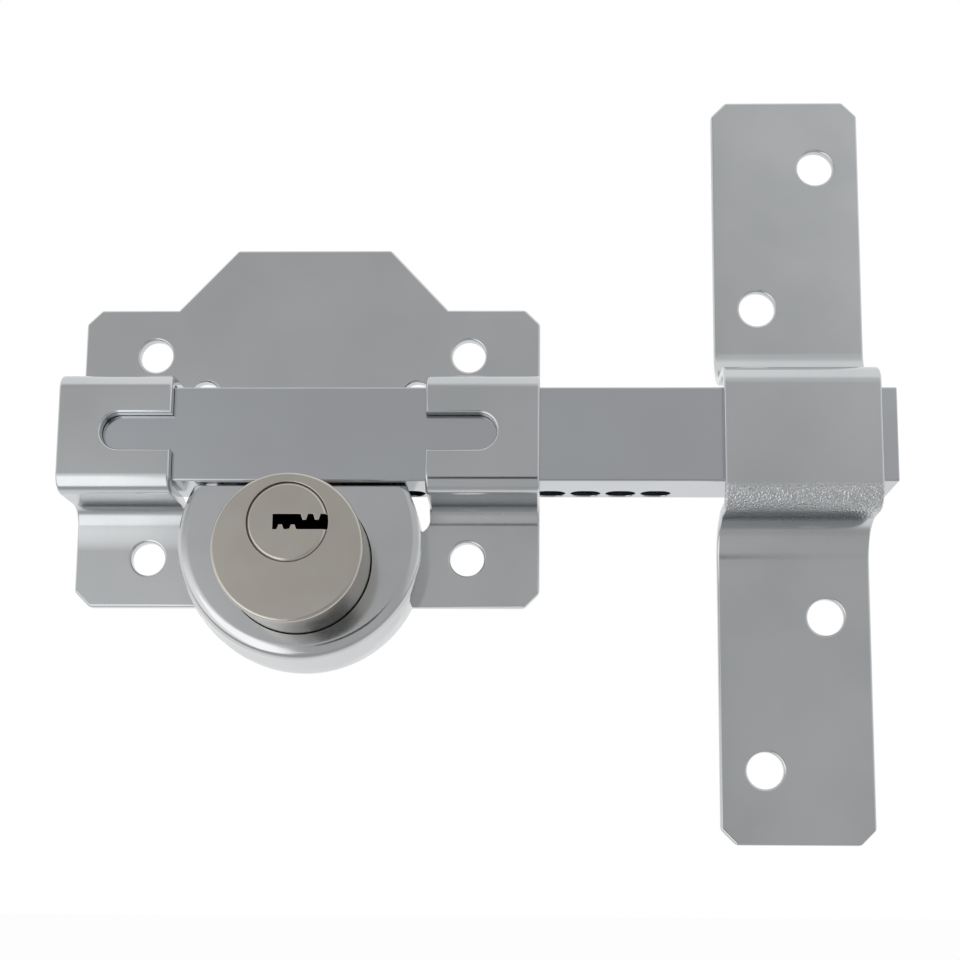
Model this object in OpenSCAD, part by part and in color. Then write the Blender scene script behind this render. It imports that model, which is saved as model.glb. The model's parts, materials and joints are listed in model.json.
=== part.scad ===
// Rim lock with a sliding bolt bar, seen as it is screwed to the inside of a door.
// X runs along the bar towards the strike, Z is up, and the front faces -Y.
// The origin is the middle of the four screw holes, on the back of the lock plate.
// Depths are measured forward from that back face, so a depth d lies at y = -d.

/* [Lock plate] */
// Thickness of the pressed sheet steel
sheet_t = 1.8; // [1.5:0.1:2.2]
// Width of the plate across both ears
plate_w = 92.4; // [90:0.2:104]
// Height of the ears
plate_h = 61.5; // [58:0.5:70]
// Height of the crown above the ears
crown_h = 12.8; // [8:0.1:18]
// Width of the crown's top edge
crown_top_w = 31.4; // [24:0.2:34]
// Width of the crown where it meets the ears
crown_base_w = 55; // [50:0.2:60]
// Size of the cut corners
corner_cut = 3; // [1:0.5:5]
// Radius of the screw holes
screw_hole_r = 3.35; // [2:0.05:3.5]
// Distance between screw holes along the bar
screw_dx = 63.6; // [62:0.2:68]
// Distance between screw holes across the bar
screw_dz = 42; // [41:0.5:45]

/* [Bridges] */
// Width of each bridge along the bar
bridge_w = 21.8; // [20:0.2:24]
// Outer radius of the bridge's front bends
bridge_bend_r = 3.4; // [2.4:0.1:3.6]
// Radius of the fillet at the bridges' lower feet
bridge_foot_r = 3.4; // [1.5:0.1:4]
// Radius of the fillet at the bridges' upper feet
upper_foot_r = 1.5; // [1:0.1:3.4]
// Gap between the bar's front and the bridges
bridge_front_gap = 0.3; // [0.2:0.05:1]
// Gap above and below the bar in the bridges
bar_side_gap = 0.65; // [0.1:0.05:0.8]
// Width of the relief slots at the bridges' inner ends
relief_w = 5.9; // [2:0.1:6.4]
// How far the relief slots run past the bridges' feet
relief_past = 1.5; // [0.5:0.1:2]
// Height of the round-ended notch in each bridge
notch_h = 7.1; // [4:0.1:8]
// Length of that notch
notch_len = 13.6; // [8:0.2:16]

/* [Bolt bar] */
// Height of the bar
bar_w = 18.6; // [16:0.1:19]
// Thickness of the bar
bar_t = 12.8; // [10:0.2:14]
// Length of the bar
bar_len = 158.4; // [140:0.2:170]
// How far the bar's rear end sits inside the plate's left edge when thrown
bar_inset = 2.4; // [1:0.1:6]
// Height of the bar's middle above the screw pattern's middle
bar_z = 0.75; // [0:0.05:2]
// Radius of the bar's long edges
bar_edge_r = 0.4; // [0.2:0.1:1]
// Clearance behind the bar
bar_back_gap = 0.2; // [0.1:0.05:0.4]
// Distance between rack slots
rack_pitch = 6.9; // [6.5:0.05:7.5]
// Length of a rack slot along the bar
rack_slot_len = 5.8; // [5.6:0.1:6]
// Width of a rack slot from back to front
rack_slot_w = 4.2; // [4:0.1:4.8]
// Depth of the rack slots up into the bar
rack_slot_depth = 4; // [3:0.1:6]
// Thickness of the wall behind the rack slots
rack_wall = 0.7; // [0.5:0.1:1.4]

/* [Cylinder] */
// Number of pinion teeth, one turn of which throws the bar
pinion_teeth = 10; // [9:1:10]
// How far the pinion's teeth reach into the bar
tooth_reach = 1.6; // [1.4:0.1:1.6]
// Half width of a tooth at its root
tooth_root_w = 1.6; // [1.2:0.1:1.8]
// Half width of a tooth at its tip
tooth_tip_w = 0.6; // [0.4:0.1:0.6]
// How far the pinion's pitch circle rises into the bar
rack_line = 0.3; // [0:0.05:0.4]
// Thickness of the pinion
pinion_t = 2.8; // [2:0.1:3.2]
// Radius of the cylinder body
cyl_r = 14; // [13.5:0.1:14.6]
// How far the cylinder's face stands in front of the plate's front
cyl_proud = 23.9; // [20:0.1:26]
// How far the plug's axis lies above the cylinder's axis
plug_offset = 4.6; // [3.8:0.1:5]
// Radius of the key plug
plug_r = 7.5; // [7:0.05:7.8]
// How far the plug stands proud of the cylinder's face
plug_proud = 0.15; // [0:0.05:0.6]
// Height of the keyway
key_h = 2.8; // [2.2:0.1:3.2]
// How far the keyway reaches past the plug's axis on its closed side
key_back = 2.6; // [1.8:0.1:3.4]
// Depth of the keyway from the plug's face
key_depth = 16; // [14:0.1:17.4]

/* [Pins] */
// Radius of the tumbler pins
pin_r = 1.25; // [0.9:0.05:1.4]
// Clearance around the pins
pin_clear = 0.05; // [0.03:0.01:0.1]
// Distance between pins
pin_pitch = 3.8; // [3.2:0.1:4.2]
// Distance of the first pin from the plug's face
pin_first = 3.4; // [2.8:0.1:3.6]
// Length of a driver pin
driver_len = 3.6; // [3:0.1:4]
// How far a pin moves either way from the shear line
pin_travel = 0.8; // [0.4:0.1:0.9]
// Thickness of the plug that closes a pin chamber
chamber_plug_t = 2; // [1.4:0.1:2.4]

/* [Housing] */
// Outer radius of the round housing
housing_r = 23.5; // [22.8:0.1:23.8]
// How far the housing's middle lies below the plug's axis
housing_drop = 1.3; // [0.5:0.1:2]
// Height of the housing in front of the plate
housing_h = 10.6; // [9:0.1:12]
// Outer radius of the housing's rolled rim
housing_rim_r = 2.8; // [2.4:0.1:4]
// How far the rim's middle lies above the middle of the housing's foot
rim_rise = 2; // [1:0.1:2.4]
// How far the wall leans in at the bottom from its foot to the rim
rim_draft = 1.3; // [0.6:0.1:1.8]
// Gap between the bar and the housing's flat top
housing_top_gap = 0.3; // [0.2:0.1:0.9]
// Gap round the cylinder where it leaves the housing
cyl_gap = 0.2; // [0.1:0.05:0.4]
// Width of the housing's fixing tabs
tab_w = 5; // [3:0.5:7]

/* [Strike] */
// Distance from the plate's middle to the strike's middle
strike_x = 96.3; // [92:0.1:97]
// Width of the strike
strike_w = 30; // [26:0.5:34]
// Height of the strike
strike_h = 152.6; // [148:0.2:170]
// Height of the strike's middle above the screw pattern's middle
strike_z = -0.8; // [-2:0.1:2]
// Size of the strike's cut corners
strike_cut = 3; // [1:0.5:5]
// Radius of the strike's screw holes
strike_hole_r = 3.6; // [2.5:0.1:4]
// How far the strike's holes stand off its middle line
strike_hole_dx = 6.2; // [4:0.1:7]
// Distance from the hole pattern's middle to its outer holes
strike_outer_dz = 61.9; // [58:0.1:66]
// Distance from the hole pattern's middle to its inner holes
strike_inner_dz = 31.7; // [30:0.1:34]
// Clearance above the bar in the strike's hat
hat_gap_top = 2.7; // [0.5:0.1:3.4]
// Clearance below the bar in the strike's hat
hat_gap_bottom = 3.8; // [0.5:0.1:4.4]
// Outer radius of the hat's front bends
hat_bend_r = 4.4; // [2.4:0.1:4.8]
// Radius of the fillet at the hat's feet
hat_foot_r = 7; // [1.5:0.1:8]

/* [Hidden] */
$fn = 96;

// Depths of the bar and of what lies in front of it
bar_back_d = sheet_t + bar_back_gap;
bar_front_d = bar_back_d + bar_t;
bridge_in_d = bar_front_d + bridge_front_gap;
bridge_out_d = bridge_in_d + sheet_t;

// Heights of the bar's edges and of the webs beside them
bar_lo_z = bar_z - bar_w / 2;
bar_hi_z = bar_z + bar_w / 2;
web_lo_z = bar_lo_z - bar_side_gap;
web_hi_z = bar_hi_z + bar_side_gap;
hat_lo_z = bar_lo_z - hat_gap_bottom;
hat_hi_z = bar_hi_z + hat_gap_top;
bar_left_x = bar_inset - plate_w / 2;
bar_right_x = bar_left_x + bar_len;

// The slots run just past the feet of the bridges
bridge_in_x = plate_w / 2 - bridge_w;
foot_lo_z = web_lo_z - sheet_t - bridge_foot_r;
foot_hi_z = web_hi_z + sheet_t + upper_foot_r;

// The pinion's pitch circle rolls just inside the bar's lower edge
pitch_r = pinion_teeth * rack_pitch / (2 * PI);
plug_z = bar_lo_z + rack_line - pitch_r;
cyl_z = plug_z - plug_offset;
tip_r = pitch_r + tooth_reach;
tooth_root_drop = 1.2;
tooth_root_r = pitch_r - tooth_root_drop;
tooth_knee = 0.2;
rack_back_d = bar_back_d + rack_wall;
rack_slots = pinion_teeth + 1;
lap = 0.01;

// Depths along the cylinder
end_gap = 0.3;
pinion_back_d = rack_back_d + end_gap;
pinion_front_d = pinion_back_d + pinion_t;
cyl_back_d = pinion_front_d + end_gap;
cyl_front_d = sheet_t + cyl_proud;
plug_front_d = cyl_front_d + plug_proud;
rear_wall = 2;
plug_back_d = cyl_back_d + rear_wall;
run_fit = 0.05;
journal_r = 5;
cyl_edge_r = 0.6;
plug_chamfer = 0.5;
tail_r = 3.4;
tail_flat = 2.5;
tail_back_d = 0.4;
tail_hole_r = 6;
clip_t = 0.7;
clip_gap = 0.1;
clip_r = 4.9;
clip_mouth = 0.8;
groove_r = 2.6;
key_mouth = plug_front_d - key_depth;

// Ribs in the keyway
rib_w = 1.4;
rib_slope = 0.35;
rib_gap = 0.9;
mouth_margin = 1.3;
end_margin = 0.7;
low_rib = 0.9;
high_rib = 1.1;

// Pin chambers hang below the plug, and the key pins stand in the keyway
// At the top of their travel they cross this share of its height
pins = 4;
pin_share = 0.75;
pin_tip = 0.7;
pin_seat = 0.1;
chamber_r = pin_r + pin_clear;
chamber_rise = (pin_share - 0.5) * key_h;
shear_gap = 0.04;
cyl_bottom_z = cyl_z - cyl_r;
chamber_end_z = cyl_bottom_z + chamber_plug_t;
key_pin_top_z = plug_z + chamber_rise - pin_travel;
driver_top_z = plug_z - plug_r - run_fit - shear_gap;
driver_lo_z = driver_top_z - driver_len;
spring_wall = 0.4;

// Screws that hold the cylinder to the plate
cyl_screw_x = 5.2;
cyl_screw_drop = 15.2;
cyl_screw_z = plug_z - cyl_screw_drop;
cyl_screw_r = 1.45;
cyl_screw_clear = 0.05;
cyl_screw_depth = 8.5;
cyl_screw_head_r = 2.6;
cyl_screw_head_t = 1.1;
cyl_screw_sink = 0.1;
cyl_screw_slot_w = 0.7;
cyl_screw_slot_depth = 0.5;
boss_r = 2.1;

// Housing
housing_z = plug_z - housing_drop;
housing_front_d = sheet_t + housing_h;
housing_flat_z = bar_lo_z - housing_top_gap;
tab_clear = 0.1;
tab_turn = 55;
tab_inset = 0.9;
tab_t = 1.1;
tab_end_d = 0.1;
lobe_step = 0.2;
housing_draw = 0.3;
housing_t = sheet_t - housing_draw;
rim_out_r = housing_r + rim_rise - rim_draft;
foot_flare = 0.2;

// Draws a flat outline in the X-Z plane and gives it depth from d0 to d1
module front(d0, d1) {
    rotate([90, 0, 0])
        translate([0, 0, d0])
            linear_extrude(d1 - d0)
                children();
}

// Stands a shape with its own Z axis along the depth, at x and z
module on_axis(x, z, d) {
    rotate([90, 0, 0])
        translate([x, z, d])
            children();
}

// Carries an outline drawn as height and depth along X from x0 to x1
module along_bar(x0, x1) {
    translate([x0, 0, 0])
        rotate([180, -90, 0])
            linear_extrude(x1 - x0)
                children();
}

// A quarter of a ring about a centre, in the quadrant that the signs name
module quarter(cx, cy, r_in, r_out, sx, sy) {
    translate([cx, cy])
        intersection() {
            difference() {
                circle(r_out);
                circle(r_in);
            }
            scale([sx, sy])
                square(r_out + 1);
        }
}

// One leg of a pressed bridge: foot fillet, web and front bend, z up and depth sideways
// side is 1 for the upper leg and -1 for the lower one
module leg(web_z, side, in_d, bend_r, foot_r) {
    out_d = in_d + sheet_t;
    z = side * web_z;
    mirror([side > 0 ? 0 : 1, 0]) {
        quarter(z + sheet_t + foot_r, sheet_t + foot_r, foot_r, foot_r + sheet_t, -1, -1);
        translate([z, sheet_t + foot_r])
            square([sheet_t, out_d - bend_r - sheet_t - foot_r]);
        quarter(z + sheet_t - bend_r, out_d - bend_r, bend_r - sheet_t, bend_r, 1, 1);
    }
}

// The whole section of a pressed bridge between two web heights
module bridge_section(lo_z, hi_z, in_d, bend_r, foot_lo_r, foot_hi_r) {
    leg(hi_z, 1, in_d, bend_r, foot_hi_r);
    leg(lo_z, -1, in_d, bend_r, foot_lo_r);
    translate([lo_z - sheet_t + bend_r, in_d])
        square([hi_z - lo_z + 2 * sheet_t - 2 * bend_r, sheet_t]);
}

// Rectangle with its four corners cut at 45 degrees
module cut_rect(w, h, c) {
    polygon([[-w / 2 + c, -h / 2], [w / 2 - c, -h / 2], [w / 2, -h / 2 + c], [w / 2, h / 2 - c],
             [w / 2 - c, h / 2], [-w / 2 + c, h / 2], [-w / 2, h / 2 - c], [-w / 2, -h / 2 + c]]);
}

// Rectangle with rounded corners, its lower left corner at the origin
module rounded_rect(w, h, r) {
    translate([r, 0])
        square([w - 2 * r, h]);
    translate([0, r])
        square([w, h - 2 * r]);
    for (x = [r, w - r], y = [r, h - r])
        translate([x, y])
            circle(r);
}

// Slot with round ends along the second axis
module round_slot(x, z0, z1, w) {
    translate([x - w / 2, z0 + w / 2])
        square([w, z1 - z0 - w]);
    for (z = [z0 + w / 2, z1 - w / 2])
        translate([x, z])
            circle(w / 2);
}

// Places a child at each of the three housing tabs
module at_tabs() {
    for (a = [-tab_turn, 0, tab_turn])
        translate([0, housing_z])
            rotate([0, 0, a])
                children();
}

// Outline of one tab or of its slot, grown by g
module tab_outline(g) {
    translate([-tab_w / 2 - g, -housing_r + tab_inset - g])
        square([tab_w + 2 * g, tab_t + 2 * g]);
}

module plate_outline() {
    cut_rect(plate_w, plate_h, corner_cut);
    translate([0, plate_h / 2])
        polygon([[-crown_base_w / 2, -corner_cut], [crown_base_w / 2, -corner_cut],
                 [crown_base_w / 2, 0], [crown_top_w / 2, crown_h],
                 [-crown_top_w / 2, crown_h], [-crown_base_w / 2, 0]]);
    translate([0, housing_z])
        circle(housing_r - lobe_step);
}

module plate_holes() {
    for (sx = [-1, 1], sz = [-1, 1])
        translate([sx * screw_dx / 2, sz * screw_dz / 2])
            circle(screw_hole_r);
    for (s = [-1, 1]) {
        translate([s > 0 ? bridge_in_x : -plate_w / 2 - 1, foot_lo_z])
            square([bridge_w + 1, foot_hi_z - foot_lo_z]);
        round_slot(s * (bridge_in_x - relief_w / 2), foot_lo_z - relief_past, foot_hi_z + relief_past,
                   relief_w);
    }
    translate([0, plug_z])
        circle(tail_hole_r);
    for (s = [-1, 1])
        translate([s * cyl_screw_x, cyl_screw_z])
            circle(cyl_screw_r + cyl_screw_clear);
    at_tabs()
        tab_outline(tab_clear);
}

module notch(s) {
    round_end = bridge_in_x + notch_len - notch_h / 2;
    translate([s > 0 ? bridge_in_x - 1 : -round_end, bar_z - notch_h / 2])
        square([round_end - bridge_in_x + 1, notch_h]);
    translate([s * round_end, bar_z])
        circle(notch_h / 2);
}

module lock_plate() {
    color("#9a9ea1")
        difference() {
            union() {
                front(0, sheet_t)
                    difference() {
                        plate_outline();
                        plate_holes();
                    }
                for (x = [-plate_w / 2, bridge_in_x])
                    along_bar(x, x + bridge_w)
                        bridge_section(web_lo_z, web_hi_z, bridge_in_d, bridge_bend_r,
                                       bridge_foot_r, upper_foot_r);
            }
            for (s = [-1, 1])
                front(bridge_in_d - 0.5, bridge_out_d + 1)
                    notch(s);
            for (s = [-1, 1]) {
                on_axis(s * cyl_screw_x, cyl_screw_z, -1)
                    cylinder(h = 1 + cyl_screw_sink, r = cyl_screw_head_r + cyl_screw_clear);
                on_axis(s * cyl_screw_x, cyl_screw_z, cyl_screw_sink)
                    cylinder(h = cyl_screw_head_t, r1 = cyl_screw_head_r + cyl_screw_clear,
                             r2 = cyl_screw_r + cyl_screw_clear);
            }
        }
}

// Solid cup, g larger all round than the housing's outside
// A leaning wall whose rolled rim lies higher cuts off the upright one
// So the roll is full at the bottom and runs out at the top
module cup(g) {
    roll = housing_rim_r + g;
    top = housing_h + g;
    intersection() {
        on_axis(0, housing_z, sheet_t)
            cylinder(h = top, r = housing_r + g);
        on_axis(0, housing_z + rim_rise, sheet_t)
            rotate_extrude() {
                polygon([[0, 0], [rim_out_r + rim_draft + foot_flare + g, 0], [rim_out_r + g, top - roll],
                         [rim_out_r + g - roll, top], [0, top]]);
                quarter(rim_out_r + g - roll, top - roll, 0, roll, 1, 1);
            }
    }
}

// Pressed cup, its top cut off flat below the bar
module cylinder_housing() {
    color("#a3a7aa") {
        difference() {
            cup(0);
            cup(-housing_t);
            on_axis(0, housing_z, sheet_t - 1)
                cylinder(h = 1 + lap, r = housing_r - housing_t);
            on_axis(0, cyl_z, 0)
                cylinder(h = housing_front_d + 1, r = cyl_r + cyl_gap);
            translate([-housing_r - 1, -housing_front_d - 1, housing_flat_z])
                cube([2 * housing_r + 2, housing_front_d + 2, 2 * housing_r]);
        }
        front(tab_end_d, sheet_t)
            at_tabs()
                tab_outline(0);
    }
}

module cylinder_body() {
    color("#a09a93")
        difference() {
            union() {
                on_axis(0, cyl_z, cyl_back_d)
                    cylinder(h = cyl_front_d - cyl_back_d - cyl_edge_r, r = cyl_r);
                on_axis(0, cyl_z, cyl_front_d - cyl_edge_r)
                    rotate_extrude() {
                        square([cyl_r - cyl_edge_r, cyl_edge_r]);
                        quarter(cyl_r - cyl_edge_r, 0, 0, cyl_edge_r, 1, 1);
                    }
                for (s = [-1, 1])
                    on_axis(s * cyl_screw_x, cyl_screw_z, sheet_t)
                        cylinder(h = cyl_back_d - sheet_t + 0.5, r = boss_r);
            }
            on_axis(0, plug_z, plug_back_d)
                cylinder(h = cyl_front_d, r = plug_r + run_fit);
            on_axis(0, plug_z, 0)
                cylinder(h = cyl_front_d, r = journal_r + run_fit);
            for (i = [0:pins - 1])
                translate([0, -pin_d(i), cyl_bottom_z - 1])
                    cylinder(h = plug_z - cyl_bottom_z + 1, r = chamber_r);
            for (s = [-1, 1])
                on_axis(s * cyl_screw_x, cyl_screw_z, 0)
                    cylinder(h = cyl_screw_depth + end_gap, r = cyl_screw_r + cyl_screw_clear);
        }
}

// Depth of each pin, counted from the key's mouth
function pin_d(i) = plug_front_d - pin_first - i * pin_pitch;

// Rib on a wall of the keyway, w wide at its foot and standing reach into the slot
// side is 1 for the upper wall and -1 for the lower one
module key_rib(x, w, reach, side) {
    wall = side * key_h / 2;
    polygon([[x, wall + side], [x, wall], [x + rib_slope, wall - side * reach],
             [x + w - rib_slope, wall - side * reach], [x + w, wall], [x + w, wall + side]]);
}

// Keyway about the plug's axis: open to the right, with ribs on both long walls
module keyway() {
    difference() {
        translate([-key_back, -key_h / 2])
            square([key_back + plug_r + 1, key_h]);
        key_rib(end_margin - key_back, rib_w, low_rib, -1);
        key_rib(end_margin + rib_w + rib_gap - key_back, rib_w, low_rib, -1);
        key_rib(plug_r - mouth_margin - rib_w, rib_w, high_rib, 1);
        key_rib(plug_r - mouth_margin - 2 * rib_w - rib_gap, rib_w, high_rib, 1);
    }
}

module key_plug() {
    color("#9c9690")
        difference() {
            union() {
                on_axis(0, plug_z, plug_back_d + end_gap)
                    cylinder(h = plug_front_d - plug_back_d - end_gap - plug_chamfer, r = plug_r);
                on_axis(0, plug_z, plug_front_d - plug_chamfer)
                    cylinder(h = plug_chamfer, r1 = plug_r, r2 = plug_r - plug_chamfer);
                on_axis(0, plug_z, pinion_front_d)
                    cylinder(h = plug_back_d - pinion_front_d + end_gap + 0.5, r = journal_r);
                intersection() {
                    on_axis(0, plug_z, tail_back_d)
                        cylinder(h = pinion_front_d - tail_back_d + 0.5, r = tail_r);
                    front(0, pinion_front_d + 1)
                        translate([-tail_r - 1, plug_z - tail_flat])
                            square([2 * tail_r + 2, 2 * tail_flat]);
                }
            }
            front(key_mouth, plug_front_d + 1)
                translate([0, plug_z])
                    keyway();
            for (i = [0:pins - 1])
                translate([0, -pin_d(i), plug_z - plug_r - 1])
                    cylinder(h = plug_r + 1 + chamber_rise, r = chamber_r);
            on_axis(0, plug_z, pinion_back_d - clip_gap - clip_t)
                difference() {
                    cylinder(h = clip_t + clip_gap, r = tail_r + 1);
                    translate([0, 0, -1])
                        cylinder(h = clip_t + 2, r = groove_r);
                }
        }
}

// Toothed wheel whose teeth enter the bar's holes from below
module drive_pinion() {
    color("#b9a878")
        front(pinion_back_d, pinion_front_d)
            translate([0, plug_z])
                difference() {
                    union() {
                        circle(tooth_root_r);
                        for (i = [0:pinion_teeth - 1])
                            rotate([0, 0, i * 360 / pinion_teeth])
                                polygon([[-tooth_root_w, tooth_root_r - 1], [tooth_root_w, tooth_root_r - 1],
                                         [tooth_root_w, pitch_r - tooth_knee], [tooth_tip_w, tip_r],
                                         [-tooth_tip_w, tip_r], [-tooth_root_w, pitch_r - tooth_knee]]);
                    }
                    intersection() {
                        circle(tail_r + run_fit);
                        square([2 * tail_r + 2, 2 * (tail_flat + run_fit)], center = true);
                    }
                }
}

// Open ring in the groove behind the pinion
module pinion_clip() {
    color("#5c5e60")
        on_axis(0, plug_z, pinion_back_d - clip_gap - clip_t + run_fit)
            linear_extrude(clip_t)
                difference() {
                    circle(clip_r);
                    circle(groove_r + run_fit);
                    translate([-clip_mouth * groove_r, 0])
                        square([2 * clip_mouth * groove_r, clip_r + 1]);
                }
}

module bolt_bar() {
    color("#96989c")
        difference() {
            along_bar(bar_left_x, bar_right_x)
                translate([bar_lo_z, bar_back_d])
                    rounded_rect(bar_w, bar_t, bar_edge_r);
            for (i = [0:rack_slots - 1])
                translate([i * rack_pitch, -rack_back_d - rack_slot_w / 2, bar_lo_z - 1])
                    rotate([0, 0, 90])
                        linear_extrude(rack_slot_depth + 1)
                            round_slot(0, -rack_slot_len / 2, rack_slot_len / 2, rack_slot_w);
        }
}

// Pin inside the plug, its cone towards the key
module key_pin(i) {
    base_z = plug_z - plug_r + pin_seat;
    shank = key_pin_top_z - base_z - pin_tip;
    color("#c2ab6e")
        translate([0, -pin_d(i), base_z]) {
            cylinder(h = shank, r = pin_r);
            translate([0, 0, shank])
                cylinder(h = pin_tip, r1 = pin_r, r2 = pin_r - pin_tip);
        }
}

module driver_pin(i) {
    color("#8f9295")
        translate([0, -pin_d(i), driver_lo_z])
            cylinder(h = driver_len, r = pin_r);
}

// Coil spring's envelope between a driver pin and the chamber's plug
module pin_spring(i) {
    color("#777a7c")
        translate([0, -pin_d(i), chamber_end_z])
            difference() {
                cylinder(h = driver_lo_z - chamber_end_z, r = pin_r - pin_clear);
                translate([0, 0, -1])
                    cylinder(h = driver_lo_z - chamber_end_z + 2, r = pin_r - pin_clear - spring_wall);
            }
}

module key_pin_1() key_pin(0);
module key_pin_2() key_pin(1);
module key_pin_3() key_pin(2);
module key_pin_4() key_pin(3);
module driver_pin_1() driver_pin(0);
module driver_pin_2() driver_pin(1);
module driver_pin_3() driver_pin(2);
module driver_pin_4() driver_pin(3);
module pin_spring_1() pin_spring(0);
module pin_spring_2() pin_spring(1);
module pin_spring_3() pin_spring(2);
module pin_spring_4() pin_spring(3);

// Plugs that close the chambers, turned flush with the cylinder
module chamber_plugs() {
    color("#a09a93")
        for (i = [0:pins - 1])
            intersection() {
                translate([0, -pin_d(i), cyl_bottom_z - 1])
                    cylinder(h = chamber_plug_t + 1, r = chamber_r - lap);
                on_axis(0, cyl_z, 0)
                    cylinder(h = cyl_front_d, r = cyl_r);
            }
}

// Countersunk screws from the back of the plate into the cylinder
module cylinder_screws() {
    color("#7d8083")
        for (s = [-1, 1])
            on_axis(s * cyl_screw_x, cyl_screw_z, cyl_screw_sink)
                difference() {
                    union() {
                        cylinder(h = cyl_screw_depth, r = cyl_screw_r);
                        cylinder(h = cyl_screw_head_t, r1 = cyl_screw_head_r, r2 = cyl_screw_r);
                    }
                    translate([-cyl_screw_head_r - 1, -cyl_screw_slot_w / 2, -1])
                        cube([2 * cyl_screw_head_r + 2, cyl_screw_slot_w, 1 + cyl_screw_slot_depth]);
                }
}

module strike_plate() {
    foot_lo = hat_lo_z - sheet_t - hat_foot_r;
    foot_hi = hat_hi_z + sheet_t + hat_foot_r;
    color("#a0a2a4")
        translate([strike_x, 0, 0]) {
            front(0, sheet_t)
                difference() {
                    translate([0, strike_z])
                        cut_rect(strike_w, strike_h, strike_cut);
                    translate([-strike_w / 2 - 1, foot_lo])
                        square([strike_w + 2, foot_hi - foot_lo]);
                    for (s = [-1, 1]) {
                        translate([s * strike_hole_dx, strike_z + s * strike_outer_dz])
                            circle(strike_hole_r);
                        translate([-s * strike_hole_dx, strike_z + s * strike_inner_dz])
                            circle(strike_hole_r);
                    }
                }
            along_bar(-strike_w / 2, strike_w / 2)
                bridge_section(hat_lo_z, hat_hi_z, bridge_in_d, hat_bend_r, hat_foot_r, hat_foot_r);
        }
}

lock_plate();
cylinder_housing();
cylinder_body();
key_plug();
drive_pinion();
pinion_clip();
bolt_bar();
key_pin_1();
key_pin_2();
key_pin_3();
key_pin_4();
driver_pin_1();
driver_pin_2();
driver_pin_3();
driver_pin_4();
pin_spring_1();
pin_spring_2();
pin_spring_3();
pin_spring_4();
chamber_plugs();
cylinder_screws();
strike_plate();
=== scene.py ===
"""Finishes, light and camera of a rim lock with a sliding bolt bar.

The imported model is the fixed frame. The pieces that show are finer copies of its nodes with
the edges of sheet and bar rounded, and every piece gets the finish that the real one has.
"""
import itertools
import json
import math

import bmesh
import bpy
import numpy as np
from mathutils import Matrix, Vector


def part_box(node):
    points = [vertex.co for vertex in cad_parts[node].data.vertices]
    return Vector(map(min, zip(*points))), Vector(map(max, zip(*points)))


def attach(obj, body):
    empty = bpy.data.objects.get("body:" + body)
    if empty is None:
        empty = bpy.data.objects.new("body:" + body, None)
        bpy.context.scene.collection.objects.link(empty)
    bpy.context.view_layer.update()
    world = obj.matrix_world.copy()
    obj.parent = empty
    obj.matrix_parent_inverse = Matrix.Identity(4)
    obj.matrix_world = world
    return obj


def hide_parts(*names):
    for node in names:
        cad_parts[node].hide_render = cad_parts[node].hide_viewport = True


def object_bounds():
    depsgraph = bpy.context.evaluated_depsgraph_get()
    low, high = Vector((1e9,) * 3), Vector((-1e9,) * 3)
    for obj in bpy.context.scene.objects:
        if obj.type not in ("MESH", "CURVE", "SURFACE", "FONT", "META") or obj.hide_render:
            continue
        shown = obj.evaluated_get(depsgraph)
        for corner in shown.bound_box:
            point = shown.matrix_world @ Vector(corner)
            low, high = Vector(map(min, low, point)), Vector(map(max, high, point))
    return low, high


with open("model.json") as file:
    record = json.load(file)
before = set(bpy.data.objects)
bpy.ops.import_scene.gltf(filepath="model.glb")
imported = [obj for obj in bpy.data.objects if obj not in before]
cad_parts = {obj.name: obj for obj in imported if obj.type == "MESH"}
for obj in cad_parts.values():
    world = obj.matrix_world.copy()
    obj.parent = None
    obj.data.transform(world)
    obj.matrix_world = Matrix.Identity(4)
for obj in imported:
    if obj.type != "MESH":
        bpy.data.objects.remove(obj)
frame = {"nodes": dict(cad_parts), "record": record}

bl_info = {
    "name": "Rim Lock Finisher",
    "version": (1, 0, 0),
    "blender": (4, 5, 0),
    "location": "View3D > Sidebar > Rim Lock",
    "description": "Dresses a packed rim lock in plated metal, lights it and places its camera",
    "category": "Object",
}

CAD_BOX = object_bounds()
NODES = frame["nodes"]
BODY_OF = {node: body for body, nodes in frame["record"]["behaviour"]["bodies"].items() for node in nodes}
SLOT_OF = {row["node"]: row["material_slot"] for row in frame["record"]["subparts"]}
BAR, STRIKE, HOUSING, CYLINDER, PLUG = (
    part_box(node) for node in ("bolt_bar", "strike_plate", "cylinder_housing", "cylinder_body", "key_plug"))

MM = 0.001
MICRON = 1e-6
SMOOTH = {"interpolation_type": "SMOOTHSTEP"}

# Heights under the bar between which a bridge or the hat meets its plate.
PLATE_WEB, PLATE_FOOT = 2 * MM, 5.9 * MM
STRIKE_WEB, STRIKE_FOOT = 7 * MM, 12.6 * MM
# Heights under the bar, and depth behind the hat's front, over which its stretched steel is peeled.
PEEL_TOP, PEEL_END, PEEL_DEPTH = 1.2 * MM, 5.8 * MM, 9 * MM

SHARP = math.radians(32)    # faces that bend more than this meet at an edge, and less in a curve
FOLD = math.radians(30)     # two edges that leave a point closer together than this make a fold
FOLD_ROOM = 3               # how many radii a rounded edge keeps from a fold
ROUND_STEPS = 3             # facets across a rounded edge
WELD = 0.001 * MM           # points closer than this are one
FLAT = math.radians(0.05)   # faces that bend less than this become one
SHADE = math.radians(35)    # faces that bend less than this are shaded as one
FACE_DEPTH = 0.2 * MM       # an edge this near the cylinder's face or the housing's top belongs to it


def linear(hex_colour):
    """sRGB hex to linear red, green and blue."""
    srgb = np.array([int(hex_colour[i:i + 2], 16) for i in (1, 3, 5)]) / 255
    return tuple(np.where(srgb <= 0.04045, srgb / 12.92, ((srgb + 0.055) / 1.055) ** 2.4))


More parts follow.
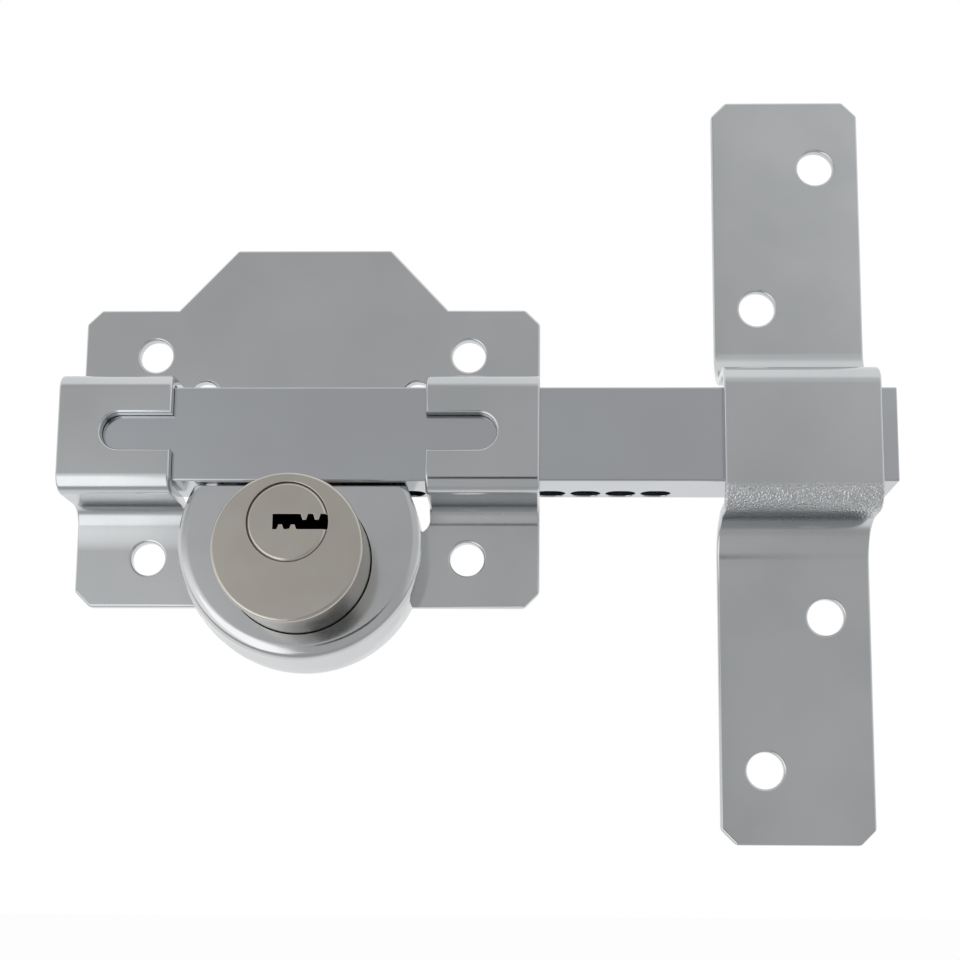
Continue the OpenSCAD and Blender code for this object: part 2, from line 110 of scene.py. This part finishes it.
def length(name, description, default):
    """A size in metres that the sidebar shows."""
    return bpy.props.FloatProperty(name=name, description=description, default=default, unit="LENGTH",
                                   min=0.0, precision=5)


def colour(name, description, default):
    """A colour that the sidebar shows, its default written as sRGB hex."""
    return bpy.props.FloatVectorProperty(name=name, description=description, subtype="COLOR", size=3,
                                         min=0.0, max=1.0, default=linear(default))


class RimLockSizes(bpy.types.PropertyGroup):
    """Sizes of the finish and of the studio.

    Real rolling lines, drawing lines and peel are finer, and are drawn as coarse as they need to show.
    """

    sheet_edge: length("Sheet edge", "Radius of the tumbled edges of the pressed sheet", 0.5 * MM)
    bar_edge: length("Bar edge", "Radius of the broken edges at the bar's ends and slots", 0.3 * MM)
    turned_edge: length("Turned edge", "Radius of the edges of turned pieces", 0.15 * MM)
    roll_width: length("Rolling lines", "Spacing of the sheet's rolling lines", 0.35 * MM)
    draw_width: length("Drawing lines", "Spacing of the bar's drawing lines", 0.3 * MM)
    peel_size: length("Orange peel", "Grain of the stretched steel outside the hat's lower bend", 0.4 * MM)
    foot_fade: length("Foot fade", "How far below a bridge's foot the sheet is still a little bent", 5 * MM)
    floor_drop: length("Floor drop", "How far the floor lies below the part", 0.35)


class RimLockColours(bpy.types.PropertyGroup):
    """Colours of the metals and of the studio."""

    sheet: colour("Sheet", "Nickel plate on pressed sheet", "#cbcdcf")
    sheet_stain: colour("Sheet stain", "Duller patches of the sheet", "#c1c4c6")
    housing: colour("Housing", "Nickel plate on the housing", "#cccdce")
    bar: colour("Bar", "Nickel plate on the drawn bar", "#c1c5c9")
    bar_stain: colour("Bar stain", "Duller patches of the bar", "#bcbec2")
    cylinder: colour("Cylinder", "Nickel plate on turned brass", "#c3beb7")
    cylinder_stain: colour("Cylinder stain", "Warmer patches of the cylinder", "#bdb8b0")
    # The keyway colour is painted shade: the near black that the plug turns to deeper in the keyway.
    keyway: colour("Keyway", "Painted shade inside the keyway", "#1b1a18")
    brass: colour("Brass", "Machined brass", "#c9b06a")
    brass_stain: colour("Brass stain", "Where the brass has dulled", "#a98f55")
    steel: colour("Steel", "Spring and screw steel", "#8b8e91")
    steel_stain: colour("Steel stain", "Where the steel holds oil", "#6d6a68")
    floor: colour("Floor", "Studio floor", "#fafafa")
    cloth: colour("Cloth", "Dark clothing behind the camera", "#5c5c5e")


def add(tree, kind, settings=None, **inputs):
    """Adds a node. A socket given for an input is linked, and anything else is its value.

    An input goes by its label, with _ for a space, or by i and its number where labels repeat.
    """
    node = tree.nodes.new(kind)
    for key, value in (settings or {}).items():
        setattr(node, key, value)
    for key, value in inputs.items():
        numbered = key[0] == "i" and key[1:].isdigit()
        socket = node.inputs[int(key[1:]) if numbered else key.replace("_", " ")]
        if isinstance(value, bpy.types.NodeSocket):
            tree.links.new(value, socket)
        else:
            socket.default_value = value
    return node


def rgba(value):
    """A colour with full alpha."""
    return (*value, 1.0)


def plated_metal(name, base, stain, rough, spread, grain_mm, cloud_mm, relief_um):
    """A metal whose grain has the sizes grain_mm along X, Y and Z. Returns it with its main sockets.

    Its colour drifts from base to stain in clouds of cloud_mm, its roughness follows grain and clouds by
    spread either way, and the grain stands relief_um high.
    """
    cloud_low, cloud_high = 0.25, 0.75
    mottle_low, mottle_high = 0.7, 1.3
    material = bpy.data.materials.new(name)
    material.use_nodes = True
    tree = material.node_tree
    tree.nodes.clear()
    place = add(tree, "ShaderNodeTexCoord").outputs["Object"]
    laid = add(tree, "ShaderNodeMapping", Vector=place, Scale=[1 / (size * MM) for size in grain_mm])
    grain = add(tree, "ShaderNodeTexNoise", Vector=laid.outputs[0], Scale=1.0, Detail=2.0).outputs["Fac"]
    cloud = add(tree, "ShaderNodeTexNoise", Vector=place, Scale=1 / (cloud_mm * MM), Detail=3.0).outputs["Fac"]
    share = add(tree, "ShaderNodeMapRange", SMOOTH, Value=cloud, From_Min=cloud_low, From_Max=cloud_high)
    tint = add(tree, "ShaderNodeMix", {"data_type": "RGBA"}, Factor=share.outputs[0], i6=rgba(base),
               i7=rgba(stain))
    mottle = add(tree, "ShaderNodeMath", {"operation": "ADD"}, i0=grain, i1=cloud)
    dull = add(tree, "ShaderNodeMapRange", Value=mottle.outputs[0], From_Min=mottle_low, From_Max=mottle_high,
               To_Min=rough - spread, To_Max=rough + spread)
    relief = add(tree, "ShaderNodeBump", Strength=1.0, Distance=relief_um * MICRON, Height=grain)
    shader = add(tree, "ShaderNodeBsdfPrincipled", Base_Color=tint.outputs[2], Metallic=1.0,
                 Roughness=dull.outputs[0], Normal=relief.outputs[0])
    add(tree, "ShaderNodeOutputMaterial", Surface=shader.outputs[0])
    return material, {"place": place, "tint": tint.outputs[2], "rough": dull.outputs[0],
                      "normal": relief.outputs[0], "shader": shader}


def between(tree, value, low, high, soft):
    """A socket that is 1 where value lies between low and high, with edges soft wide."""
    up = add(tree, "ShaderNodeMapRange", SMOOTH, Value=value, From_Min=low - soft, From_Max=low + soft)
    down = add(tree, "ShaderNodeMapRange", SMOOTH, Value=value, From_Min=high - soft, From_Max=high + soft,
               To_Min=1.0, To_Max=0.0)
    return add(tree, "ShaderNodeMath", {"operation": "MULTIPLY"}, i0=up.outputs[0], i1=down.outputs[0]).outputs[0]


def pressed_sheet(name, colours, sizes, web, foot):
    """Bright nickel on cold rolled steel: long faint rolling lines and a satin gloss.

    Where a bridge was pressed out, between the heights web and foot below it, the tool has
    dulled the sheet, and below foot the sheet straightens slowly.
    """
    roll_length, drawn_soft, drawn_dull, dish_slope = 40, 1.5 * MM, 0.12, 0.09
    roll = sizes.roll_width / MM
    material, parts = plated_metal(name, colours.sheet, colours.sheet_stain, rough=0.13, spread=0.03,
                                   grain_mm=(roll, roll, roll_length * roll), cloud_mm=22.0, relief_um=1.2)
    tree = material.node_tree
    axes = add(tree, "ShaderNodeSeparateXYZ", Vector=parts["place"])
    drawn = between(tree, axes.outputs["Z"], foot, web, drawn_soft)
    rub = add(tree, "ShaderNodeMath", {"operation": "MULTIPLY_ADD"}, i0=drawn, i1=drawn_dull, i2=parts["rough"])
    tree.links.new(rub.outputs[0], parts["shader"].inputs["Roughness"])
    dish = add(tree, "ShaderNodeMapRange", SMOOTH, Value=axes.outputs["Z"], From_Min=foot - sizes.foot_fade,
               From_Max=web)
    slope = add(tree, "ShaderNodeBump", Strength=1.0, Distance=dish_slope * (web - foot + sizes.foot_fade),
                Height=dish.outputs[0], Normal=parts["normal"])
    tree.links.new(slope.outputs[0], parts["shader"].inputs["Normal"])
    parts.update(axes=axes, normal=slope.outputs[0])
    return material, parts


def nickel_plated_sheet(colours, sizes):
    """The lock plate's sheet, dulled where its two bridges meet it."""
    return pressed_sheet("nickel_plated_pressed_sheet", colours, sizes, BAR[0].z - PLATE_WEB,
                         BAR[0].z - PLATE_FOOT)[0]


def nickel_plated_strike(colours, sizes):
    """The same plated sheet, its grain stretched to orange peel outside the hat's lower bend."""
    front_room, bend_soft, front_soft, peel_height = 1 * MM, 0.8 * MM, 1.5 * MM, 0.3 * MM
    material, parts = pressed_sheet("nickel_plated_strike_sheet", colours, sizes, BAR[0].z - STRIKE_WEB,
                                    BAR[0].z - STRIKE_FOOT)
    tree = material.node_tree
    height, depth = parts["axes"].outputs["Z"], parts["axes"].outputs["Y"]
    bend = between(tree, height, BAR[0].z - PEEL_END, BAR[0].z - PEEL_TOP, bend_soft)
    front = between(tree, depth, STRIKE[0].y - front_room, STRIKE[0].y + PEEL_DEPTH, front_soft)
    where = add(tree, "ShaderNodeMath", {"operation": "MULTIPLY"}, i0=bend, i1=front)
    cells = add(tree, "ShaderNodeTexNoise", Vector=parts["place"], Scale=1 / sizes.peel_size, Detail=1.0)
    level = add(tree, "ShaderNodeMath", {"operation": "SUBTRACT"}, i0=cells.outputs["Fac"], i1=0.5)
    bumps = add(tree, "ShaderNodeMath", {"operation": "MULTIPLY"}, i0=level.outputs[0], i1=where.outputs[0])
    peel = add(tree, "ShaderNodeBump", Strength=1.0, Distance=peel_height, Height=bumps.outputs[0],
               Normal=parts["normal"])
    tree.links.new(peel.outputs[0], parts["shader"].inputs["Normal"])
    return material


def nickel_plated_housing(colours):
    """Bright nickel on a deep drawn cup: smoother than the sheet, with a faint peel all over."""
    return plated_metal("nickel_plated_drawn_cup", colours.housing, colours.sheet_stain, rough=0.13,
                        spread=0.03, grain_mm=(0.9, 0.9, 0.9), cloud_mm=18.0, relief_um=3.0)[0]


def nickel_plated_bar(colours, sizes):
    """Nickel on a cold drawn bar: fine lines along its length."""
    line_length = 60
    line = sizes.draw_width / MM
    return plated_metal("nickel_plated_drawn_bar", colours.bar, colours.bar_stain, rough=0.17, spread=0.03,
                        grain_mm=(line_length * line, line, line), cloud_mm=26.0, relief_um=1.6)[0]


def turned_nickel(name, colours, cloud_mm):
    """Nickel on turned brass: rings round the side, a finely lapped face, a warm grey."""
    return plated_metal(name, colours.cylinder, colours.cylinder_stain, rough=0.2, spread=0.03,
                        grain_mm=(6.0, 0.25, 6.0), cloud_mm=cloud_mm, relief_um=1.6)


def nickel_plated_cylinder(colours):
    """The cylinder's turned and plated brass."""
    return turned_nickel("nickel_plated_turned_brass", colours, 9.0)[0]


def nickel_plated_plug(colours):
    """The cylinder's metal on the plug, with painted shade darkening the keyway inside: the colour turns near
    black deeper behind the plug's face.
    """
    unshaded_depth, dark_depth = 0.5 * MM, 1.4 * MM
    material, parts = turned_nickel("nickel_plated_plug_brass", colours, 7.0)
    tree = material.node_tree
    axes = add(tree, "ShaderNodeSeparateXYZ", Vector=parts["place"])
    # Painted shade: from half a millimetre to 1.4 mm behind the plug's face the colour turns to a near black,
    # darkening the keyway.
    depth = add(tree, "ShaderNodeMapRange", SMOOTH, Value=axes.outputs["Y"], From_Min=PLUG[0].y + unshaded_depth,
                From_Max=PLUG[0].y + dark_depth)
    dark = add(tree, "ShaderNodeMix", {"data_type": "RGBA"}, Factor=depth.outputs[0], i6=parts["tint"],
               i7=rgba(colours.keyway))
    tree.links.new(dark.outputs[2], parts["shader"].inputs["Base Color"])
    return material


def machined_brass(colours):
    """Free-cutting brass as it leaves the lathe or saw: fine tool lines, slightly dulled."""
    return plated_metal("machined_brass", colours.brass, colours.brass_stain, rough=0.3, spread=0.06,
                        grain_mm=(3.0, 0.2, 3.0), cloud_mm=4.0, relief_um=2.0)[0]


def spring_steel(colours):
    """Hardened spring and screw steel: grey, oiled and a little mottled."""
    return plated_metal("oiled_spring_steel", colours.steel, colours.steel_stain, rough=0.34, spread=0.07,
                        grain_mm=(1.5, 0.3, 0.3), cloud_mm=3.0, relief_um=2.0)[0]


def edges_to_round(work, edge, shows):
    """The edges that a radius of edge suits: those that are sharp, stick out, show and have room.

    An edge shows where shows holds for its middle and the normals of its two faces. It has no room
    beside a fold, a point where two sharp edges leave side by side.
    """
    bend = {each: each.calc_face_angle_signed(0) for each in work.edges}
    keen = [each for each, angle in bend.items() if abs(angle) > SHARP]
    ways = {}
    for each in keen:
        a, b = each.verts
        ways.setdefault(a, []).append(b.co - a.co)
        ways.setdefault(b, []).append(a.co - b.co)
    folds = [point.co.copy() for point, leaving in ways.items()
             if any(a.angle(b) < FOLD for a, b in itertools.combinations(leaving, 2))]
    chosen = []
    for each in keen:
        ends = [point.co for point in each.verts]
        room = all((end - fold).length > FOLD_ROOM * edge for end in ends for fold in folds)
        if bend[each] > 0 and room and shows((ends[0] + ends[1]) / 2, [face.normal for face in each.link_faces]):
            chosen.append(each)
    return chosen


def any_edge(middle, normals):
    """True for every edge."""
    return True


def on_plate_front(middle, normals):
    """True for an edge of the lock plate outside the housing and on the side that the punch entered.

    The back and the inside of the bridges keep the sharp edge that the punch left.
    """
    lean, upright = 0.05, 1e-5
    low, high = HOUSING
    if low.x < middle.x < high.x and low.z < middle.z < high.z:
        return False
    if any(normal.y > lean for normal in normals):
        return False
    to_bar = (BAR[0].z + BAR[1].z) / 2 - middle.z
    return any(normal.y < -lean for normal in normals) or all(normal.z * to_bar < upright for normal in normals)


def on_housing_top(middle, normals):
    """True for an edge of the housing's flat top, under the bar."""
    return middle.z > HOUSING[1].z - FACE_DEPTH


def on_cylinder_face(middle, normals):
    """True for an edge round the cylinder's face, the plug's face or the keyway's mouth."""
    return middle.y < CYLINDER[0].y + FACE_DEPTH


def calm_normals(mesh):
    """Corner normals that keep flat faces flat beside a rounded edge.

    Each is the mean, by area, of the faces round its point that bend little from its own face.
    """
    count = len(mesh.polygons)
    normals, areas = np.empty(count * 3), np.empty(count)
    mesh.polygons.foreach_get("normal", normals)
    mesh.polygons.foreach_get("area", areas)
    normals = normals.reshape(-1, 3)
    around = [[] for point in mesh.vertices]
    for face in mesh.polygons:
        for point in face.vertices:
            around[point].append(face.index)
    least = math.cos(SHADE)
    corners = []
    for face in mesh.polygons:
        own = normals[face.index]
        for point in face.vertices:
            near = [each for each in around[point] if normals[each] @ own > least]
            mean = areas[near] @ normals[near] if near else own
            corners.append(mean / max(np.linalg.norm(mean), 1e-12))
    mesh.normals_split_custom_set(corners)


def dress(node, material, edge=0.0, shows=any_edge):
    """Shows a finer copy of the node: one connected mesh with the edges where shows holds rounded."""
    mesh = NODES[node].data.copy()
    mesh.name = node + "_finish"
    work = bmesh.new()
    work.from_mesh(mesh)
    bmesh.ops.remove_doubles(work, verts=work.verts, dist=WELD)
    bmesh.ops.dissolve_limit(work, angle_limit=FLAT, verts=work.verts, edges=work.edges)
    if edge:
        bmesh.ops.bevel(work, geom=edges_to_round(work, edge, shows), offset=edge, offset_type="OFFSET",
                        segments=ROUND_STEPS, profile=0.5, affect="EDGES", loop_slide=False,
                        clamp_overlap=False)
    work.to_mesh(mesh)
    work.free()
    mesh.materials.clear()
    mesh.materials.append(material)
    mesh.polygons.foreach_set("use_smooth", np.ones(len(mesh.polygons), bool))
    calm_normals(mesh)
    piece = bpy.data.objects.new(mesh.name, mesh)
    bpy.context.scene.collection.objects.link(piece)
    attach(piece, BODY_OF[node])
    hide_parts(node)


def repaint(node, material):
    """Gives a CAD node that is shown as it is a better material."""
    data = NODES[node].data
    data.materials.clear()
    data.materials.append(material)


def light(name, place, target, width, height, radiance):
    """A white soft box of the given radiance that faces target and that no camera sees."""
    lamp = bpy.data.lights.new(name, "AREA")
    lamp.shape = "RECTANGLE"
    lamp.size = width
    lamp.size_y = height
    lamp.energy = radiance * math.pi * width * height
    box = bpy.data.objects.new(name, lamp)
    bpy.context.scene.collection.objects.link(box)
    box.location = place
    box.rotation_euler = (Vector(target) - Vector(place)).to_track_quat("-Z", "Y").to_euler()
    box.visible_camera = False


def studio_world():
    """White round the part. In front of it is a dimmer room, brighter low on the left and high on the right.

    A direction has X to the right, Y away from the camera and Z up. A level of 1 is white.
    """
    wall_level, right_level, left_extra, matt_level = 0.54, 0.7, 0.62, 0.8
    left_from, left_to = -0.3, -0.14
    low_from, low_to = -0.1, 0.36
    right_way, right_from, right_to = (1, 0, 1), 0.42, 0.66
    back_way, back_from, back_to = (0, 1, 0.5), -0.5, -0.1
    world = bpy.data.worlds.new("Studio")
    bpy.context.scene.world = world
    world.use_nodes = True
    tree = world.node_tree
    tree.nodes.clear()
    direction = add(tree, "ShaderNodeTexCoord").outputs["Generated"]
    axes = add(tree, "ShaderNodeSeparateXYZ", Vector=direction)
    left = add(tree, "ShaderNodeMapRange", SMOOTH, Value=axes.outputs["X"], From_Min=left_from,
               From_Max=left_to, To_Min=left_extra, To_Max=0.0)
    low = add(tree, "ShaderNodeMapRange", SMOOTH, Value=axes.outputs["Z"], From_Min=low_from,
              From_Max=low_to, To_Min=left.outputs[0], To_Max=0.0)
    high = add(tree, "ShaderNodeVectorMath", {"operation": "DOT_PRODUCT"}, i0=direction, i1=right_way)
    right = add(tree, "ShaderNodeMapRange", SMOOTH, Value=high.outputs["Value"], From_Min=right_from,
                From_Max=right_to, To_Min=wall_level, To_Max=right_level)
    wall = add(tree, "ShaderNodeMath", {"operation": "ADD"}, i0=low.outputs[0], i1=right.outputs[0])
    behind = add(tree, "ShaderNodeVectorMath", {"operation": "DOT_PRODUCT"}, i0=direction, i1=back_way)
    room = add(tree, "ShaderNodeMapRange", SMOOTH, Value=behind.outputs["Value"], From_Min=back_from,
               From_Max=back_to, To_Min=wall.outputs[0], To_Max=1.0)
    path = add(tree, "ShaderNodeLightPath")
    seen = add(tree, "ShaderNodeMath", {"operation": "MAXIMUM"}, i0=path.outputs["Is Glossy Ray"],
               i1=path.outputs["Is Transmission Ray"])
    level = add(tree, "ShaderNodeMix", Factor=seen.outputs[0], i2=matt_level, i3=room.outputs[0])
    strength = add(tree, "ShaderNodeMix", Factor=path.outputs["Is Camera Ray"], i2=level.outputs[0], i3=1.0)
    sky = add(tree, "ShaderNodeBackground", Color=(1, 1, 1, 1), Strength=strength.outputs[0])
    add(tree, "ShaderNodeOutputWorld", Surface=sky.outputs[0])


def sheet_of_points(name, corner, along, across, steps):
    """A flat grid: corner + i * along + j * across, where i and j run from 0 to 1 in the given steps."""
    share = np.linspace(0, 1, steps + 1)
    i, j = (part.ravel()[:, None] for part in np.meshgrid(share, share))
    points = np.array(corner) + i * np.array(along) + j * np.array(across)
    row = steps + 1
    low = (np.arange(steps)[:, None] * row + np.arange(steps)[None, :]).ravel()
    mesh = bpy.data.meshes.new(name)
    mesh.from_pydata(points, [], np.stack([low, low + 1, low + row + 1, low + row], 1))
    thing = bpy.data.objects.new(name, mesh)
    bpy.context.scene.collection.objects.link(thing)
    return thing


def studio_floor(colours, sizes):
    """A wide paper floor from just in front of the part, which keeps the part's shadow.

    The camera sees it white. The metal sees it white behind the part and dim in front of it.
    """
    half, front, steps = 12.0, -0.12, 8
    dim_level, dim_until, white_from, glow_share = 0.45, -0.02, 0.2, 0.92
    floor = sheet_of_points("studio_floor", (-half, front, CAD_BOX[0].z - sizes.floor_drop),
                            (2 * half, 0, 0), (0, half - front, 0), steps)
    material = bpy.data.materials.new("matt_paper_floor")
    material.use_nodes = True
    tree = material.node_tree
    tree.nodes.clear()
    paper = add(tree, "ShaderNodeBsdfPrincipled", Base_Color=rgba(colours.floor), Roughness=0.9)
    path = add(tree, "ShaderNodeLightPath")
    axes = add(tree, "ShaderNodeSeparateXYZ", Vector=add(tree, "ShaderNodeTexCoord").outputs["Object"])
    depth = add(tree, "ShaderNodeMapRange", SMOOTH, Value=axes.outputs["Y"], From_Min=dim_until,
                From_Max=white_from, To_Min=dim_level, To_Max=1.0)
    shown = add(tree, "ShaderNodeMix", Factor=path.outputs["Is Glossy Ray"], i2=1.0, i3=depth.outputs[0])
    white = add(tree, "ShaderNodeEmission", Color=(1, 1, 1, 1), Strength=shown.outputs[0])
    seen = add(tree, "ShaderNodeMath", {"operation": "MAXIMUM"}, i0=path.outputs["Is Camera Ray"],
               i1=path.outputs["Is Glossy Ray"])
    share = add(tree, "ShaderNodeMath", {"operation": "MULTIPLY"}, i0=seen.outputs[0], i1=glow_share)
    mixed = add(tree, "ShaderNodeMixShader", Fac=share.outputs[0], i1=paper.outputs[0], i2=white.outputs[0])
    add(tree, "ShaderNodeOutputMaterial", Surface=mixed.outputs[0])
    floor.data.materials.append(material)


def dark_backdrop(colours):
    """A dark cloth low behind the camera, which only the metal sees."""
    corner, width, height = (-0.03, -0.45, -0.19), 0.17, 0.115
    cloth = sheet_of_points("dark_backdrop", corner, (width, 0, 0), (0, 0, height), 2)
    material = bpy.data.materials.new("dark_cloth")
    material.use_nodes = True
    shader = material.node_tree.nodes["Principled BSDF"]
    shader.inputs["Base Color"].default_value = rgba(colours.cloth)
    shader.inputs["Roughness"].default_value = 0.9
    cloth.data.materials.append(material)
    cloth.visible_camera = False
    cloth.visible_diffuse = False
    cloth.visible_shadow = False


def studio_camera():
    """The photograph's view: a little right of the plate's middle, below it and looking up."""
    focal_px, frame_px, sensor_mm = 1471.5, 960, 36.0
    shift_px = (-34.2, 183.9)
    place = Vector((46.59, -287.6, -82.87)) * MM
    pitch, yaw, roll = (math.radians(angle) for angle in (8.143, 1.05, -0.173))
    camera = bpy.data.cameras.new("Camera")
    camera.sensor_width = sensor_mm
    camera.lens = focal_px * sensor_mm / frame_px
    camera.shift_x, camera.shift_y = (shift / frame_px for shift in shift_px)
    camera.clip_start = 0.01
    camera.clip_end = 100.0
    eye = bpy.data.objects.new("Camera", camera)
    bpy.context.scene.collection.objects.link(eye)
    cx, sx = math.cos(pitch), math.sin(pitch)
    cy, sy = math.cos(yaw), math.sin(yaw)
    cz, sz = math.cos(roll), math.sin(roll)
    turn = (Matrix(((cz, -sz, 0), (sz, cz, 0), (0, 0, 1)))
            @ Matrix(((cy, 0, sy), (0, 1, 0), (-sy, 0, cy)))
            @ Matrix(((1, 0, 0), (0, cx, -sx), (0, sx, cx))))
    # The rows of turn have Y up and Z ahead, which the scene has the other way round.
    right, up, ahead = (Vector((row[0], row[2], row[1])) for row in turn)
    eye.matrix_world = Matrix.Translation(place) @ Matrix((right, up, -ahead)).transposed().to_4x4()
    bpy.context.scene.camera = eye


def settings():
    """The sizes and colours of the sidebar."""
    return bpy.context.scene.rim_lock_sizes, bpy.context.scene.rim_lock_colours


class RIMLOCK_OT_sheet(bpy.types.Operator):
    """Dress the lock plate and the strike in nickel plated sheet."""

    bl_idname = "rimlock.sheet"
    bl_label = "Plate and Strike"

    def execute(self, context):
        sizes, colours = settings()
        dress("lock_plate", nickel_plated_sheet(colours, sizes), sizes.sheet_edge, shows=on_plate_front)
        dress("strike_plate", nickel_plated_strike(colours, sizes), sizes.sheet_edge)
        return {"FINISHED"}


class RIMLOCK_OT_housing(bpy.types.Operator):
    """Dress the drawn cup round the cylinder."""

    bl_idname = "rimlock.housing"
    bl_label = "Housing"

    def execute(self, context):
        sizes, colours = settings()
        dress("cylinder_housing", nickel_plated_housing(colours), sizes.turned_edge, shows=on_housing_top)
        return {"FINISHED"}


class RIMLOCK_OT_cylinder(bpy.types.Operator):
    """Dress the cylinder, its plug and the plugs of its pin chambers."""

    bl_idname = "rimlock.cylinder"
    bl_label = "Cylinder and Plug"

    def execute(self, context):
        sizes, colours = settings()
        turned = nickel_plated_cylinder(colours)
        dress("cylinder_body", turned, sizes.turned_edge, shows=on_cylinder_face)
        dress("chamber_plugs", turned)
        dress("key_plug", nickel_plated_plug(colours), sizes.turned_edge, shows=on_cylinder_face)
        return {"FINISHED"}


class RIMLOCK_OT_bar(bpy.types.Operator):
    """Dress the bolt bar."""

    bl_idname = "rimlock.bar"
    bl_label = "Bolt Bar"

    def execute(self, context):
        sizes, colours = settings()
        dress("bolt_bar", nickel_plated_bar(colours, sizes), sizes.bar_edge)
        return {"FINISHED"}


class RIMLOCK_OT_works(bpy.types.Operator):
    """Paint the pinion, pins, springs, clip and screws inside."""

    bl_idname = "rimlock.works"
    bl_label = "Works Inside"

    def execute(self, context):
        colours = settings()[1]
        brass = machined_brass(colours)
        steel = spring_steel(colours)
        for node, slot in SLOT_OF.items():
            if slot in ("pinion_brass", "pin_brass"):
                repaint(node, brass)
            elif slot in ("spring_steel", "pin_steel", "screw_steel"):
                repaint(node, steel)
        return {"FINISHED"}


class RIMLOCK_OT_stage(bpy.types.Operator):
    """Make the world, the floor, the cloth, the lamp and the camera."""

    bl_idname = "rimlock.stage"
    bl_label = "Studio"

    def execute(self, context):
        sizes, colours = settings()
        studio_world()
        studio_floor(colours, sizes)
        dark_backdrop(colours)
        light("Low left box", place=(-0.18, -0.27, -0.225), target=(-0.03, -0.015, -0.01), width=0.22,
              height=0.4, radiance=0.4)
        studio_camera()
        context.scene.view_settings.view_transform = "Standard"
        return {"FINISHED"}


OPERATORS = (RIMLOCK_OT_sheet, RIMLOCK_OT_housing, RIMLOCK_OT_cylinder, RIMLOCK_OT_bar,
             RIMLOCK_OT_works, RIMLOCK_OT_stage)


class RIMLOCK_PT_panel(bpy.types.Panel):
    """Steps and settings of the rim lock's finish."""

    bl_label = "Rim Lock"
    bl_idname = "RIMLOCK_PT_panel"
    bl_space_type = "VIEW_3D"
    bl_region_type = "UI"
    bl_category = "Rim Lock"

    def draw(self, context):
        for operator in OPERATORS:
            self.layout.operator(operator.bl_idname)
        for group in (context.scene.rim_lock_sizes, context.scene.rim_lock_colours):
            for name in group.bl_rna.properties.keys():
                if name not in ("rna_type", "name"):
                    self.layout.prop(group, name)


CLASSES = (RimLockSizes, RimLockColours, *OPERATORS, RIMLOCK_PT_panel)


def register():
    for each in CLASSES:
        bpy.utils.register_class(each)
    bpy.types.Scene.rim_lock_sizes = bpy.props.PointerProperty(type=RimLockSizes)
    bpy.types.Scene.rim_lock_colours = bpy.props.PointerProperty(type=RimLockColours)


def unregister():
    del bpy.types.Scene.rim_lock_colours
    del bpy.types.Scene.rim_lock_sizes
    for each in reversed(CLASSES):
        bpy.utils.unregister_class(each)


def main():
    """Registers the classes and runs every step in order."""
    register()
    bpy.ops.rimlock.sheet()
    bpy.ops.rimlock.housing()
    bpy.ops.rimlock.cylinder()
    bpy.ops.rimlock.bar()
    bpy.ops.rimlock.works()
    bpy.ops.rimlock.stage()


if __name__ == "__main__":
    main()
